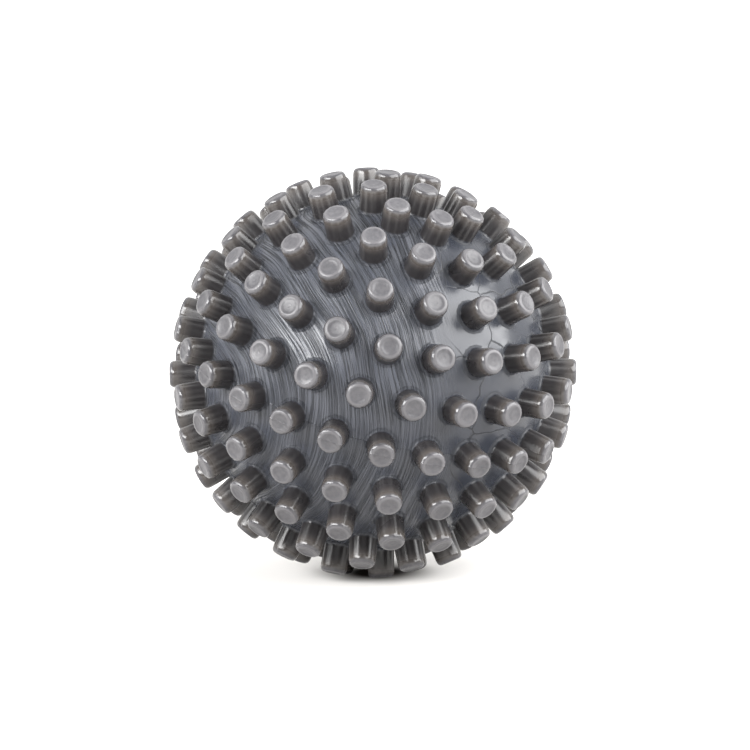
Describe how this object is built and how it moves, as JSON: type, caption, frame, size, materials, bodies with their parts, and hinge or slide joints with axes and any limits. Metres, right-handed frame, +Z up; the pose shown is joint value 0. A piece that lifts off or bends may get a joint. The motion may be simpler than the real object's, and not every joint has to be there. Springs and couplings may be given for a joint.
{
  "type": "nubbed friction ball",
  "caption": "Soft hollow ball with flat-topped round nubs all over, bonded from two moulded halves, with a push-in air valve stopper.",
  "frame": {"origin": "on the floor, below the centre of the ball as it stands on four of its nubs", "axes": "+Z up; -Y is the front, with the valve on the far side (+Y, 31 degrees up); the mould axis leans 21.7 degrees from +Z towards +X and -Y, and the ball is slightly taller along +Z than across"},
  "size_m": [0.0902, 0.0902, 0.0904],
  "materials": {
    "soft_skin": "semi-gloss soft moulding with fine drawn grain",
    "valve_rubber": "satin",
    "stopper_rubber": "satin"
  },
  "bodies": {
    "ball": {"upper_half_shell": "soft_skin", "lower_half_shell": "soft_skin", "valve_grommet": "valve_rubber"},
    "stopper": {"valve_stopper": "stopper_rubber"}
  },
  "joints": [
    {"name": "stopper_pull", "type": "slide", "parent": "ball", "child": "stopper", "axis": [-0.0525, 0.8539, 0.5178], "range_m": [0, 0.011]}
  ]
}
